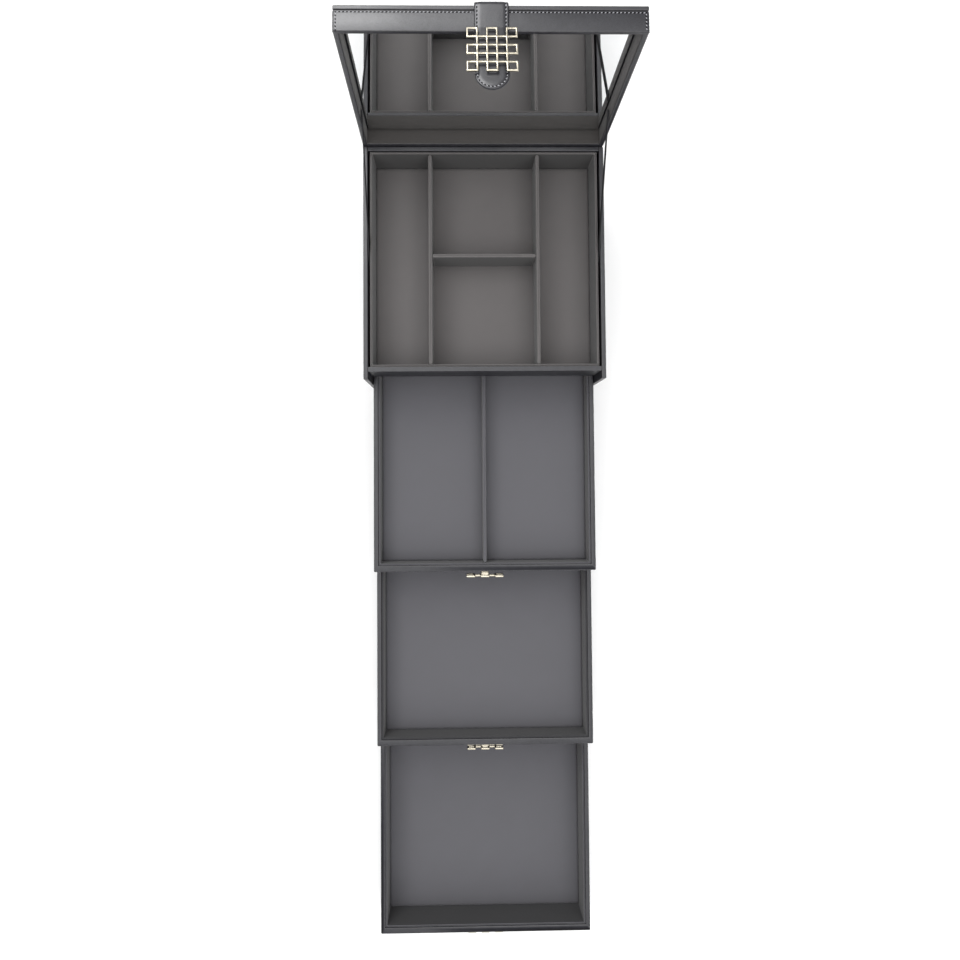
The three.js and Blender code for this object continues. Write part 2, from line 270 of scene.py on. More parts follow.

# %% [markdown]
# ## Linings
#
# Inside, the boards are covered in a napped cloth: a very matt charcoal, warm in the tray and cooler in
# the drawers. Nap has no sharp relief, only fibres finer than a tenth of a millimetre and soft patches
# where it has been brushed one way or the other. A little sheen on the shader gives the pale rim that nap
# shows at a grazing angle. The upright walls and the dividers' sides take a far darker copy of the same
# cloth, which is painted shade.

# %% Lining finishes
def lining(name, dark, light):
    """Napped cloth, between two tones of one colour."""
    recipe = Recipe(name)
    fibres = recipe.noise(5200.0, detail=2.0)
    brushed = recipe.noise(38.0, detail=5.0)
    tone = recipe.ramp(fibres * 0.5 + brushed * 0.5, 0.2, 0.8)
    return recipe.finish({
        "Base Color": recipe.colours(tone, dark, light),
        "Roughness": 0.82 + brushed * 0.15,
        "Normal": recipe.bump(fibres * 0.05 + brushed * 0.12),
        "Sheen Weight": 0.12,
        "Sheen Roughness": 0.5,
    })


tray_cloth = lining("tray_lining", (0.084, 0.078, 0.078), (0.098, 0.092, 0.091))
# Painted shade: the wall linings are the floor linings' cloth made far darker, for walls and divider sides.
tray_shade_cloth = lining("tray_lining_painted_shade", (0.013, 0.012, 0.012), (0.021, 0.019, 0.019))
drawer_cloth = lining("drawer_lining", (0.068, 0.067, 0.075), (0.080, 0.079, 0.088))
drawer_shade_cloth = lining("drawer_lining_painted_shade", (0.010, 0.010, 0.012), (0.018, 0.017, 0.020))
lid_cloth = lining("lid_lining", (0.024, 0.021, 0.020), (0.034, 0.031, 0.029))
print("linings for the tray, the drawers and the lid")

# %% [markdown]
# ## Metal, glass, thread and ribbon
#
# The clasp and the pulls are cast and plated, so they are smooth with a slightly uneven polish. The
# mirror is a metallic surface with almost no roughness. Thread and ribbon are small: their own ribs are
# modelled as shape, and the finish only has to break up their colour.

# %% The small finishes
def plating(name, dark, light, polish):
    """Plated metal. polish is its lowest roughness."""
    recipe = Recipe(name)
    clouded = recipe.noise(260.0, detail=4.0)
    stretched = {"Vector": recipe.place, "Scale": (9000.0, 300.0, 300.0)}
    hairlines = recipe.noise(1.0, vector=recipe.node("ShaderNodeMapping", values=stretched))
    return recipe.finish({
        "Base Color": recipe.colours(clouded, dark, light),
        "Metallic": 1.0,
        "Roughness": polish + clouded * 0.12 + hairlines * 0.08,
        "Normal": recipe.bump(clouded * 0.02),
    })


def silvered_glass():
    """A mirror with faint smears."""
    recipe = Recipe("mirror_glass")
    smears = recipe.ramp(recipe.noise(18.0, detail=5.0), 0.5, 0.8)
    return recipe.finish({
        "Base Color": recipe.colours(smears, (0.93, 0.94, 0.94), (0.9, 0.91, 0.915)),
        "Metallic": 1.0,
        "Roughness": 0.004 + smears * 0.03,
    })


def yarn(name, dark, light, fibres_per_metre, roughness, gloss=0.3):
    """Twisted fibres, for thread and ribbon, and the painted shade of a needle hole."""
    recipe = Recipe(name)
    fibres = recipe.noise(fibres_per_metre, detail=3.0)
    return recipe.finish({
        "Base Color": recipe.colours(fibres, dark, light),
        "Roughness": roughness + fibres * 0.2,
        "Normal": recipe.bump(fibres * 0.08),
        "Specular IOR Level": gloss,
    })


plated = plating("plated_metal", (0.27, 0.245, 0.195), (0.42, 0.39, 0.32), 0.2)
bright_steel = plating("bright_steel", (0.45, 0.46, 0.48), (0.6, 0.61, 0.63), 0.28)
mirror_glass = silvered_glass()
# Painted sheen: the thread's base colour is a light grey, brighter than the dark thread itself.
thread = yarn("thread", (0.24, 0.24, 0.26), (0.42, 0.42, 0.45), 6000.0, 0.35)
# Painted shade: a near-black, dull finish for the sunk blobs that stand for the needle holes.
needle_hole_shade = yarn(
    "needle_hole_shade", (0.001, 0.001, 0.001), (0.003, 0.003, 0.003), 3000.0, 0.8, gloss=0.03)
grosgrain = yarn("ribbon", (0.010, 0.010, 0.012), (0.024, 0.024, 0.027), 4200.0, 0.55)
small_finishes = (plated, bright_steel, mirror_glass, thread, needle_hole_shade, grosgrain)
print("small finishes:", [finish.name for finish in small_finishes])

# %% [markdown]
# ## Softened boards
#
# A wrapped board has no sharp edge: the skin rounds it by about a millimetre. The CAD boards keep their
# own meshes and get that rounding from modifiers. The triangles are first welded and merged into whole
# faces, then shaded smooth, and a bevel rounds every real edge. The bevel's faces take the second
# material: on leatherette a smoother copy whose lighter grey is a painted highlight, and on the
# dividers and liners the floor's lining, beside faces painted darker as shade.

# %% Round the CAD boards
def shading_group():
    """Drops the flat normals that came with the file, so that the bevel's own normals count."""
    group = bpy.data.node_groups.new("smooth_shading", "GeometryNodeTree")
    group.interface.new_socket("Geometry", in_out="INPUT", socket_type="NodeSocketGeometry")
    group.interface.new_socket("Geometry", in_out="OUTPUT", socket_type="NodeSocketGeometry")
    last = group.nodes.new("NodeGroupInput").outputs[0]
    for stored in ("custom_normal", "sharp_face", "sharp_edge"):
        remover = group.nodes.new("GeometryNodeRemoveAttribute")
        remover.inputs["Name"].default_value = stored
        group.links.new(last, remover.inputs["Geometry"])
        last = remover.outputs["Geometry"]
    smoother = group.nodes.new("GeometryNodeSetShadeSmooth")
    group.links.new(last, smoother.inputs["Geometry"])
    group.links.new(smoother.outputs["Geometry"], group.nodes.new("NodeGroupOutput").inputs[0])
    return group


smooth_shading = shading_group()


def soften(node, radius, face, edge, segments=3):
    """Rounds a CAD node's edges and gives it one finish on its faces and one on its edges."""
    board = frame["nodes"][node]
    board.data.materials.clear()
    board.data.materials.append(face)
    board.data.materials.append(edge)
    board.modifiers.new("smooth", "NODES").node_group = smooth_shading
    board.modifiers.new("weld", "WELD").merge_threshold = 0.00001
    flat = board.modifiers.new("whole faces", "DECIMATE")
    flat.decimate_type = "DISSOLVE"
    flat.angle_limit = math.radians(1.0)
    bevel = board.modifiers.new("bevel", "BEVEL")
    bevel.width = radius
    bevel.segments = segments
    bevel.limit_method = "ANGLE"
    bevel.angle_limit = math.radians(40.0)
    bevel.harden_normals = True
    bevel.material = 1


BOARD_ROUND = 1.0 * MM
SHELF_ROUND = 0.6 * MM
DIVIDER_ROUND = 1.8 * MM
STEEL_ROUND = 0.2 * MM
for node in ("left_side_panel", "right_side_panel", "back_panel", "base_panel"):
    soften(node, BOARD_ROUND, leather, leather_edge_wear_and_highlight)
for node in ("tray_front_board", "lid_panel"):
    soften(node, BOARD_ROUND, leather, leather_edge_wear_and_highlight)
for node in ("tray_floor_board", "upper_shelf", "lower_shelf"):
    soften(node, SHELF_ROUND, leather, leather_edge_wear_and_highlight)
# The divider and liner faces take the darker wall lining, painted shade; their rounded edges the floor's.
for node in ("tray_divider_left", "tray_divider_right", "tray_cross_divider"):
    soften(node, DIVIDER_ROUND, tray_shade_cloth, tray_cloth)
soften("tray_liner", 0.9 * MM, tray_shade_cloth, tray_cloth)
soften("lid_mirror", 0.7 * MM, mirror_glass, mirror_glass, segments=1)
for place in DRAWERS:
    soften(f"{place}_drawer_floor", 0.5 * MM, leather, leather_edge_wear_and_highlight)
    soften(f"{place}_drawer_liner", 0.7 * MM, drawer_shade_cloth, drawer_cloth)
    soften(f"{place}_drawer_pull_screw", STEEL_ROUND, bright_steel, bright_steel)
soften("top_drawer_divider", DIVIDER_ROUND, drawer_shade_cloth, drawer_cloth)
for node in ("clasp_back_plate", "strap_magnet", "keeper_magnet"):
    soften(node, STEEL_ROUND, bright_steel, bright_steel)
print("softened", sum(1 for board in frame["nodes"].values() if board.modifiers), "CAD nodes")

# %% [markdown]
# ## From a bmesh to a piece
#
# Every new piece is shaped as a bmesh and then stored by one helper: it turns the mesh into place, makes
# the object at the origin, gives it its finishes, and lets it ride on the body that carries it.
# Two smaller helpers save repeating what most pieces need, which is the points that an extrusion made and
# a round on sharp edges.

# %% Store a piece
def store(name, bm, finishes, body=None, turn=None):
    """Makes an object from a bmesh, in place and shaded smooth."""
    if turn:
        bmesh.ops.transform(bm, matrix=turn, verts=bm.verts)
    mesh = bpy.data.meshes.new(name)
    bm.to_mesh(mesh)
    bm.free()
    mesh.shade_smooth()
    for finish in finishes:
        mesh.materials.append(finish)
    piece = bpy.data.objects.new(name, mesh)
    bpy.context.scene.collection.objects.link(piece)
    if body:
        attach(piece, body)
    print(name, len(mesh.polygons), "faces")
    return piece


def new_verts(made):
    """The points among what an extrusion made."""
    return [item for item in made["geom"] if isinstance(item, bmesh.types.BMVert)]


def sharper_than(bm, degrees):
    """The edges at which two faces meet at more than this angle."""
    limit = math.radians(degrees)
    return [edge for edge in bm.edges if edge.is_manifold and edge.calc_face_angle() > limit]


def round_off(bm, edges, radius, segments=3, material=-1, clamp=True):
    """A round bevel along edges."""
    bmesh.ops.bevel(
        bm, geom=edges, offset=radius, segments=segments, profile=0.5, affect="EDGES", material=material,
        clamp_overlap=clamp)


# %% [markdown]
# ## Lattice castings
#
# The clasp and the pulls are small castings: a net of square bars whose border leaves out every second
# bar. A grid is the quickest start. Its rows and columns are spread so that narrow ones become bars and
# wide ones become openings, the openings are deleted, the flat net is extruded to its thickness, and feet
# are extruded from its back. Bevelling every sharp edge last gives the soft look of polished metal, and
# the whole casting stays one closed skin.

# %% Lattice
BAR = 1.6 * MM
NET_DEPTH = 2.0 * MM
clasp_low, clasp_high = unturned_box("clasp_lattice", strap_turn)
CELL = (clasp_high.x - clasp_low.x - BAR) / 5
print("lattice cells of", round(CELL / MM, 2), "mm")


def lattice(name, node, cells, filled, feet, foot_size, foot_end, turn, body):
    """A net with its back at y = 0. feet are lists of grid places that grow back to y = foot_end."""
    wide, high = cells
    bm = bmesh.new()
    columns, rows = 2 * wide + 1, 2 * high + 1
    bmesh.ops.create_grid(bm, x_segments=columns, y_segments=rows, size=0.5)

    def line_up(position, count, across):
        """Moves an even grid line to where a bar or an opening ends."""
        index = round((position + 0.5) * count)
        return (index // 2) * CELL + (index % 2) * BAR - (across * CELL + BAR) / 2

    places = {}
    for face in bm.faces:
        middle = face.calc_center_median()
        places[int((middle.x + 0.5) * columns), int((middle.y + 0.5) * rows)] = face
    for vert in bm.verts:
        x, z = line_up(vert.co.x, columns, wide), line_up(vert.co.y, rows, high)
        vert.co = Vector((x, 0, z))
    openings = []
    for (column, row), face in places.items():
        inside = column % 2 and row % 2 and (column, row) not in filled
        level_gap = row in (0, rows - 1) and column % 4 == 3
        upright_gap = column in (0, columns - 1) and row % 4 == 3
        if inside or level_gap or upright_gap:
            openings.append(face)
    bmesh.ops.delete(bm, geom=openings, context="FACES")
    front = bmesh.ops.extrude_face_region(bm, geom=bm.faces[:], use_keep_orig=True)
    bmesh.ops.translate(bm, vec=(0, -NET_DEPTH, 0), verts=new_verts(front))
    for foot in feet:
        faces = [places[place] for place in foot]
        grown = bmesh.ops.extrude_face_region(bm, geom=faces)
        bmesh.ops.delete(bm, geom=faces, context="FACES_ONLY")
        ends = new_verts(grown)
        middle = sum((vert.co for vert in ends), Vector()) / len(ends)
        share = foot_size / (max(vert.co.x for vert in ends) - min(vert.co.x for vert in ends))
        for vert in ends:
            x = middle.x + (vert.co.x - middle.x) * share
            z = middle.z + (vert.co.z - middle.z) * share
            vert.co = Vector((x, foot_end, z))
    bmesh.ops.recalc_face_normals(bm, faces=bm.faces[:])
    round_off(bm, sharper_than(bm, 50), 0.5 * MM)
    casting = store(name, bm, [plated], body, turn)
    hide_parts(node)


# %% The clasp and the three pulls
clasp_middle = (clasp_low + clasp_high) / 2
net_back = clasp_low.y + NET_DEPTH
crossings = [[(column, row)] for column in (4, 6) for row in (4, 6)]
to_clasp = strap_turn @ Matrix.Translation((0, net_back, clasp_middle.z))
peg_end = clasp_high.y - net_back
lattice("clasp_grille", "clasp_lattice", (5, 5), (), crossings, BAR, peg_end, to_clasp, "strap")
POST = 8.5 * MM
post_places = [[(column, row) for column in (4, 5, 6) for row in (2, 3, 4)]]
for place in DRAWERS:
    low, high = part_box(f"{place}_drawer_pull")
    to_pull = Matrix.Translation(((low.x + high.x) / 2, low.y + NET_DEPTH, (low.z + high.z) / 2))
    lattice(
        f"{place}_drawer_grille", f"{place}_drawer_pull", (5, 3), [(5, 3)], post_places, POST,
        high.y - low.y - NET_DEPTH, to_pull, f"{place}_drawer")

# %% [markdown]
# ## Wrapped frames: the drawers' boxes and the lid's skirt
#
# The real leatherette runs round a drawer in one length, so its corners show no joint between the boards.
# A frame is therefore made as one ring: an outer and an inner rectangle are bridged, the ring is extruded
# to its height, and the upright corners and then all the rims are bevelled. The ring stands for the
# separate boards of the CAD model.

# %% A ring with rounded corners
def rectangle_edges(bm, low, high, z):
    """Four edges round a rectangle at one height."""
    plan = [(low.x, low.y), (high.x, low.y), (high.x, high.y), (low.x, high.y)]
    corners = [(x, y, z) for x, y in plan]
    verts = [bm.verts.new(corner) for corner in corners]
    return [bm.edges.new((verts[i], verts[(i + 1) % 4])) for i in range(4)]


def ring(low, high, inner_low, inner_high, corner, rim):
    """An upright frame between two rectangles, from low.z to high.z."""
    bm = bmesh.new()
    edges = rectangle_edges(bm, low, high, low.z) + rectangle_edges(bm, inner_low, inner_high, low.z)
    bmesh.ops.bridge_loops(bm, edges=edges)
    raised = bmesh.ops.extrude_face_region(bm, geom=bm.faces[:])
    bmesh.ops.translate(bm, vec=(0, 0, high.z - low.z), verts=new_verts(raised))
    bmesh.ops.recalc_face_normals(bm, faces=bm.faces[:])
    upright = []
    for edge in bm.edges:
        start, end = edge.verts[0].co, edge.verts[1].co
        on_outside = min(abs(start.x - low.x), abs(start.x - high.x)) < 0.01 * MM
        if abs(start.z - end.z) > MM and on_outside:
            upright.append(edge)
    round_off(bm, upright, corner, segments=5)
    round_off(bm, sharper_than(bm, 60), rim, material=1)
    return bm


def lining_faces(bm, low, high, index):
    """Gives the faces that look into the ring the lining's finish."""
    middle = (low + high) / 2
    for face in bm.faces:
        out = face.calc_center_median() - middle
        if abs(face.normal.z) < 0.1 and face.normal.dot(Vector((out.x, out.y, 0))) < 0:
            face.material_index = index


# %% The lid's skirt
skirt_low, skirt_high = unturned_box("lid_left_wall", lid_turn)
_, skirt_right = unturned_box("lid_right_wall", lid_turn)
skirt_high.x = skirt_right.x
front_low, front_high = unturned_box("lid_front_wall", lid_turn)
back_low, back_high = unturned_box("lid_back_wall", lid_turn)
lid_wall = front_high.y - front_low.y
skirt_inner_low = Vector((skirt_low.x + lid_wall, front_high.y, 0))
skirt_inner_high = Vector((skirt_high.x - lid_wall, back_low.y, 0))
skirt = ring(skirt_low, skirt_high, skirt_inner_low, skirt_inner_high, 1.6 * MM, 1.0 * MM)
lining_faces(skirt, skirt_low, skirt_high, 2)
lid_skirt = store("lid_skirt", skirt, [leather, leather_edge_wear_and_highlight, lid_cloth], "lid", lid_turn)
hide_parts("lid_left_wall", "lid_right_wall", "lid_front_wall", "lid_back_wall")

# %% The drawers' boxes
for place in DRAWERS:
    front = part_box(f"{place}_drawer_front")
    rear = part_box(f"{place}_drawer_back")
    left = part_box(f"{place}_drawer_left_side")
    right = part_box(f"{place}_drawer_right_side")
    box_low = front[0]
    box_high = Vector((front[1].x, rear[1].y, front[1].z))
    hollow_low = Vector((left[1].x, front[1].y, 0))
    hollow_high = Vector((right[0].x, rear[0].y, 0))
    walls = ring(box_low, box_high, hollow_low, hollow_high, 1.4 * MM, 0.9 * MM)
    box = store(f"{place}_drawer_box", walls, [leather, leather_edge_wear_and_highlight], f"{place}_drawer")
    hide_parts(*[f"{place}_drawer_{part}" for part in ("front", "left_side", "right_side", "back")])

# %% [markdown]
# ## Padded floors
#
# The tray and the drawers have a cloth-covered foam sheet on the floor. It lies flat, is held at its
# edges and under the dividers, and rises a little between them. It starts as a grid, each of its points
# is pressed down near an edge or a divider, and extruding the sheet downwards makes it a closed pad.

# %% Pads with pressed edges
PAD_CROWN = 0.7 * MM
PAD_SLACK = 0.12 * MM
PRESSED_BAND = 5 * MM
PAD_GRID = 96


def press(distance, reach):
    """0 at an edge or divider, 1 beyond reach, with a round shoulder."""
    share = min(1.0, max(0.0, distance / reach))
    return math.sqrt(share * (2 - share))


def pad(name, node, cloth, body, seats):
    """A floor pad. seats are the plan boxes, low and high, of what stands on it."""
    low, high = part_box(node)
    bm = bmesh.new()
    bmesh.ops.create_grid(bm, x_segments=PAD_GRID, y_segments=PAD_GRID, size=0.5)
    size = high - low
    middle = (low + high) / 2
    for vert in bm.verts:
        x = middle.x + vert.co.x * size.x
        y = middle.y + vert.co.y * size.y
        edge = min(x - low.x, high.x - x, y - low.y, high.y - y)
        for seat_low, seat_high in seats:
            beside_x = max(seat_low.x - x, x - seat_high.x)
            beside_y = max(seat_low.y - y, y - seat_high.y)
            edge = min(edge, max(beside_x, beside_y, 0.0))
        ripple = noise.noise(Vector((x, y, 0)) * 45) * 0.12 * MM
        drop = (PAD_CROWN + ripple) * (1 - press(edge, PRESSED_BAND)) + (PAD_SLACK + ripple)
        vert.co = Vector((x, y, high.z - drop))
    sunk = bmesh.ops.extrude_face_region(bm, geom=bm.faces[:])
    for vert in new_verts(sunk):
        vert.co.z = low.z + 0.02 * MM
    bmesh.ops.recalc_face_normals(bm, faces=bm.faces[:])
    made = store(name, bm, [cloth], body)
    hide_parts(node)


# %% Pads of the tray and the drawers
dividers = ("tray_divider_left", "tray_divider_right", "tray_cross_divider")
seats = [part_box(node) for node in dividers]
pad("tray_floor_lining", "tray_floor_pad", tray_cloth, "case", seats)
for place in DRAWERS:
    seats = [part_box("top_drawer_divider")] if place == "top" else []
    pad(
        f"{place}_drawer_lining_pad", f"{place}_drawer_pad", drawer_cloth,
        f"{place}_drawer", seats)

# %% [markdown]
# ## The closing strap
#
# The strap is one length of doubled leatherette: glued to the lid's panel, turned over the lip and ending
# in a round tongue. It is modelled flat first. Half of its section is drawn with its rounded edge and the
# groove where the thread pulls it down. That half is spun a quarter turn for the tongue's end, extruded
# back along the strap and mirrored. Then the flat strap is laid along its real path, which is two
# straights, the round of the lid's edge and the bend.

# %% The strap's path when the lid is shut
_, fixed_high = unturned_box("strap_fixed_end", lid_turn)
tongue_low, tongue_high = unturned_box("strap_tongue", strap_turn)
strap_thick = tongue_high.y - tongue_low.y
strap_half = tongue_high.x
back_y = tongue_high.y
top_z = fixed_high.z - strap_thick
edge_round = 1.8 * MM
bend_round = 11.0 * MM
bend_length = bend_round * strap_raised
run_on_panel = fixed_high.y - (back_y + edge_round)
run_over_edge = edge_round * math.pi / 2
run_down_lip = top_z - edge_round - (pivot.z + bend_length / 2)
bend_start = run_on_panel + run_over_edge + run_down_lip
tongue_run = (pivot.z - tongue_low.z) - strap_half - bend_length / 2
strap_run = bend_start + bend_length + tongue_run
print("strap runs", round(strap_run / MM, 1), "mm before its round end")


def lay(point):
    """Takes a point of the flat strap, (across, along, above its back), to its place on the shut lid."""
    across, along, above = point
    if along < run_on_panel:
        place, out = Vector((0, fixed_high.y - along, top_z)), 0.0
    elif along < run_on_panel + run_over_edge:
        out = (along - run_on_panel) / edge_round
        centre = Vector((0, back_y + edge_round, top_z - edge_round))
        place = centre + edge_round * Vector((0, -math.sin(out), math.cos(out)))
    elif along < bend_start:
        down = along - run_on_panel - run_over_edge
        place, out = Vector((0, back_y, top_z - edge_round - down)), math.pi / 2
    else:
        turned = min(along - bend_start, bend_length) / bend_round
        out = math.pi / 2 - turned
        centre = Vector((0, back_y - bend_round, pivot.z + bend_length / 2))
        place = centre + bend_round * Vector((0, math.cos(turned), -math.sin(turned)))
        beyond = max(0.0, along - bend_start - bend_length)
        place += beyond * Vector((0, -math.sin(turned), -math.cos(turned)))
    normal = Vector((0, -math.sin(out), math.cos(out)))
    return place + above * normal + Vector((across, 0, 0))


# %% The flat strap, then laid
SEAM_INSET = 2.3 * MM
GROOVE = 0.55 * MM


def strap_half_section():
    """Half of the strap's section, from the middle of its back round its edge to the middle of its face."""
    round_edge = 1.1 * MM
    half_edge = strap_thick * 0.42
    points = [(0.0, 0.0), (strap_half * 0.6, 0.0)]
    for step in range(9):
        angle = -math.pi / 2 + math.pi * step / 8
        x = strap_half - round_edge + round_edge * math.cos(angle)
        points.append((x, half_edge + half_edge * math.sin(angle)))
    seam = strap_half - SEAM_INSET
    points += [
        (seam + 0.55 * MM, strap_thick - GROOVE * 0.85),
        (seam, strap_thick - GROOVE - 0.1 * MM),
        (seam - 0.6 * MM, strap_thick - GROOVE * 0.7),
        (seam - 1.6 * MM, strap_thick - GROOVE * 0.2),
        (seam - 3.4 * MM, strap_thick - 0.04 * MM),
        (strap_half * 0.3, strap_thick),
        (0.0, strap_thick),
    ]
    return points


def strap_stops():
    """How far along the strap its cross rows lie, from the tongue's round back to the glued end."""
    marks = [0.0, run_on_panel, run_on_panel + run_over_edge, bend_start - 6 * MM, bend_start]
    marks += [bend_start + bend_length, bend_start + bend_length + 6 * MM, strap_run]
    counts = [8, 8, 6, 6, 5, 6, 12]
    stops = []
    for start, end, count in zip(marks, marks[1:], counts):
        stops += [start + (end - start) * i / count for i in range(count)]
    return list(reversed(stops))


# %% The strap
bm = bmesh.new()
outline = [bm.verts.new((x, strap_run, z)) for x, z in strap_half_section()]
section = [bm.edges.new(pair) for pair in zip(outline, outline[1:])]
bmesh.ops.spin(
    bm, geom=outline + section, cent=(0, strap_run, 0), axis=(0, 0, 1), angle=math.pi / 2, steps=14,
    use_merge=False)
current, at = section, strap_run
for stop in strap_stops():
    grown = bmesh.ops.extrude_edge_only(bm, edges=current)
    current = [item for item in grown["geom"] if isinstance(item, bmesh.types.BMEdge)]
    bmesh.ops.translate(bm, vec=(0, stop - at, 0), verts=new_verts(grown))
    at = stop
everything = bm.verts[:] + bm.edges[:] + bm.faces[:]
bmesh.ops.mirror(bm, geom=everything, merge_dist=0.001 * MM, axis="X")
bmesh.ops.remove_doubles(bm, verts=bm.verts[:], dist=0.002 * MM)
open_end = [edge for edge in bm.edges if edge.is_boundary]
bmesh.ops.edgeloop_fill(bm, edges=open_end)
bmesh.ops.recalc_face_normals(bm, faces=bm.faces[:])
for vert in bm.verts:
    vert.co = lay(vert.co)
closing_strap = store("closing_strap", bm, [leather], turn=lid_turn)
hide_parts("strap_fixed_end", "strap_tongue")
strap_bend_from = lid_turn @ lay((0, bend_start - 4 * MM, 0))
strap_bend_to = lid_turn @ lay((0, bend_start + bend_length + 4 * MM, 0))
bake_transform(closing_strap)

# %% [markdown]
# ## Stitches
#
# A lockstitch shows as a row of short, slightly slanted beads of thread, each ending in a needle hole.
# One bead is a squashed sphere of a few dozen faces, and a hole is a flatter, near-black one sunk into the
# skin: painted shade for the depth of the hole. A row repeats them at the machine's pitch, 3.3 mm, and
# shares out what is left so that the row ends on a stitch.

# %% Rows of beads and holes
PITCH = 3.3 * MM
BEAD = Vector((0.95, 0.42, 0.36)) * MM
HOLE = Vector((0.95, 0.62, 0.3)) * MM
SLANT = math.radians(28)
PROUD = 0.12 * MM


def bead(bm, at, size, slant, index):
    """One squashed sphere, long along X and flat against Z."""
    shape = Matrix.Translation(at) @ Matrix.Rotation(slant, 4, "Z") @ Matrix.Diagonal((*size, 1.0))
    made = bmesh.ops.create_uvsphere(bm, u_segments=6, v_segments=4, radius=1.0, matrix=shape)
    for face in {face for vert in made["verts"] for face in vert.link_faces}:
        face.material_index = index


def stitch(bm, step):
    """A near-black blob at the origin, painted shade for the needle hole, and half a step along X its bead
    of thread.
    """
    bead(bm, (0, 0, 0), HOLE, SLANT, 1)
    bead(bm, (step / 2, 0, PROUD), BEAD, SLANT, 0)


def add_row(bm, row, turn):
    """Turns a finished row into its place and joins it to the rest."""
    bmesh.ops.transform(row, matrix=turn, verts=row.verts)
    carrier = bpy.data.meshes.new("row")
    row.to_mesh(carrier)
    row.free()
    bm.from_mesh(carrier)
    bpy.data.meshes.remove(carrier)


def sew(bm, start, end, up):
    """A straight row of stitches between two points on a surface that faces up."""
    run = end - start
    count = max(2, round(run.length / PITCH))
    step = run.length / count
    row = bmesh.new()
    stitch(row, step)
    bmesh.ops.spin(
        row, geom=row.verts[:] + row.edges[:] + row.faces[:], axis=(0, 0, 1), angle=0.0,
        dvec=(step, 0, 0), steps=count - 1, use_duplicate=True)
    direction = run.normalized()
    axes = Matrix((direction, up.cross(direction), up)).transposed().to_4x4()
    add_row(bm, row, Matrix.Translation(start) @ axes)


def sew_round(bm, corners, up):
    """Rows of stitches along a chain of points."""
    for start, end in zip(corners, corners[1:]):
        sew(bm, start, end, up)


# %% Stitches of the strap
bm = bmesh.new()
seam_x = strap_half - SEAM_INSET
face_z = strap_thick - GROOVE - 0.05 * MM
up = Vector((0, 0, 1))
first_stitch = 2.5 * MM
for side in (-1, 1):
    start = Vector((side * seam_x, first_stitch, face_z))
    sew(bm, start, Vector((side * seam_x, strap_run, face_z)), up)
count = round(math.pi * seam_x / PITCH)
tip = bmesh.new()
stitch(tip, math.pi * seam_x / count)
bmesh.ops.rotate(tip, matrix=Matrix.Rotation(math.pi / 2, 3, "Z"), verts=tip.verts)
bmesh.ops.translate(tip, vec=(seam_x, 0, 0), verts=tip.verts)
bmesh.ops.spin(
    tip, geom=tip.verts[:] + tip.edges[:] + tip.faces[:], axis=(0, 0, 1),
    angle=math.pi * (count - 1) / count, steps=count - 1, use_duplicate=True)
add_row(bm, tip, Matrix.Translation((0, strap_run, face_z)))
for vert in bm.verts:
    vert.co = lay(vert.co)
strap_stitches = store("strap_stitches", bm, [thread, needle_hole_shade], turn=lid_turn)
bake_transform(strap_stitches)

# %% [markdown]
# The lid is sewn along the top of its skirt, down both ends of each side, and round the border of its
# panel. The lip's rows leave out the width of the strap, which is sewn on its own.

# %% Stitches of the lid
bm = bmesh.new()
inset = 2.6 * MM
seam_z = skirt_high.z - 1.9 * MM
foot_z = skirt_low.z + 1.0 * MM
strap_gap = strap_half + 1.2 * MM
front_y, rear_y = skirt_low.y, skirt_high.y
left_x, right_x = skirt_low.x, skirt_high.x
forward = Vector((0, -1, 0))
leftward = Vector((-1, 0, 0))
rightward = Vector((1, 0, 0))
sew_round(bm, [
    Vector((left_x + inset, front_y, foot_z)), Vector((left_x + inset, front_y, seam_z)),
    Vector((-strap_gap, front_y, seam_z)),
], forward)
sew_round(bm, [
    Vector((strap_gap, front_y, seam_z)), Vector((right_x - inset, front_y, seam_z)),
    Vector((right_x - inset, front_y, foot_z)),
], forward)
for x, out in ((left_x, leftward), (right_x, rightward)):
    sew_round(bm, [
        Vector((x, front_y + inset, foot_z)), Vector((x, front_y + inset, seam_z)),
        Vector((x, rear_y - inset, seam_z)), Vector((x, rear_y - inset, foot_z)),
    ], out)
panel_z = unturned_box("lid_panel", lid_turn)[1].z
border = 4.0 * MM
corners = [(left_x + border, front_y + border), (left_x + border, rear_y - border)]
corners += [(right_x - border, rear_y - border), (right_x - border, front_y + border)]
points = [Vector((x, y, panel_z)) for x, y in corners]
sew_round(bm, points, up)
sew(bm, points[0], Vector((-strap_gap, points[0].y, panel_z)), up)
sew(bm, Vector((strap_gap, points[0].y, panel_z)), points[3], up)
store("lid_stitches", bm, [thread, needle_hole_shade], "lid", lid_turn)

# %% [markdown]
# Each drawer front has one sewn border, and so does the outer face of each side panel.

# %% Stitches of the drawers and the sides
def border_places(first_low, first_high, z_low, z_high):
    """The corners of a sewn border on an upright face, and which way is inward at each."""
    return [
        (first_low, z_low, 1, 1), (first_low, z_high, 1, -1),
        (first_high, z_high, -1, -1), (first_high, z_low, -1, 1),
    ]


for place in DRAWERS:
    low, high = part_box(f"{place}_drawer_front")
    bm = bmesh.new()
    plan = border_places(low.x, high.x, low.z, high.z)
    points = [Vector((x + right * border, low.y, z + above * border)) for x, z, right, above in plan]
    sew_round(bm, points + points[:1], forward)
    store(f"{place}_drawer_stitches", bm, [thread, needle_hole_shade], f"{place}_drawer")

